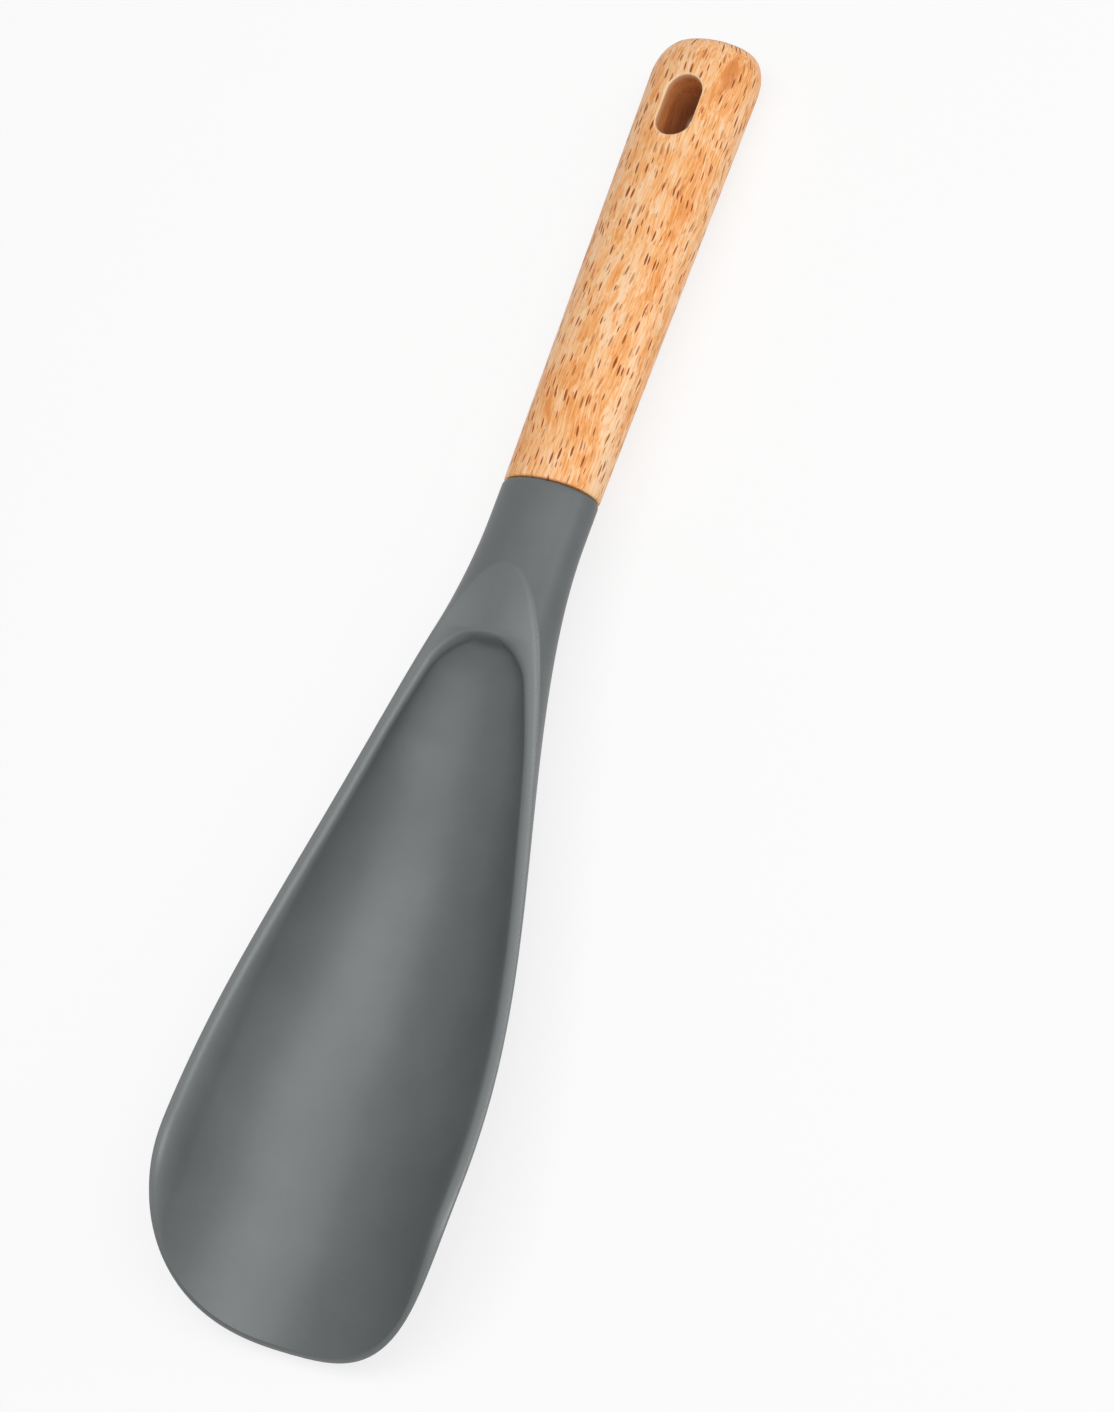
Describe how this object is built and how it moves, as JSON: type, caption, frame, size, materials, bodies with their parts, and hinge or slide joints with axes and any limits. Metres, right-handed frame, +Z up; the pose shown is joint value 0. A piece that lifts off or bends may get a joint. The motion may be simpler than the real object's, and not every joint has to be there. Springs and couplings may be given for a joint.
{
  "type": "silicone spoon",
  "caption": "Long cooking spoon: an open-ended trough bowl and neck moulded in silicone over a stiff core, glued into an oval beech handle with a hanging slot, for scooping and stirring.",
  "frame": {"origin": "bottom centre of the bounding box, on the table that the spoon lies on with its bowl open upwards", "axes": "+X across the bowl, +Y along the spoon from the lip of the bowl to the butt of the handle, +Z up out of the bowl"},
  "size_m": [0.0748, 0.3212, 0.0271],
  "materials": {
    "beech": "satin lacquer over sanded beech with short dark ray flecks",
    "silicone": "matte",
    "nylon": "as moulded",
    "epoxy": "cured, clear amber"
  },
  "bodies": {
    "root": {"beech_handle": "beech", "silicone_head": "silicone", "nylon_core": "nylon", "epoxy_bond": "epoxy"}
  },
  "joints": []
}
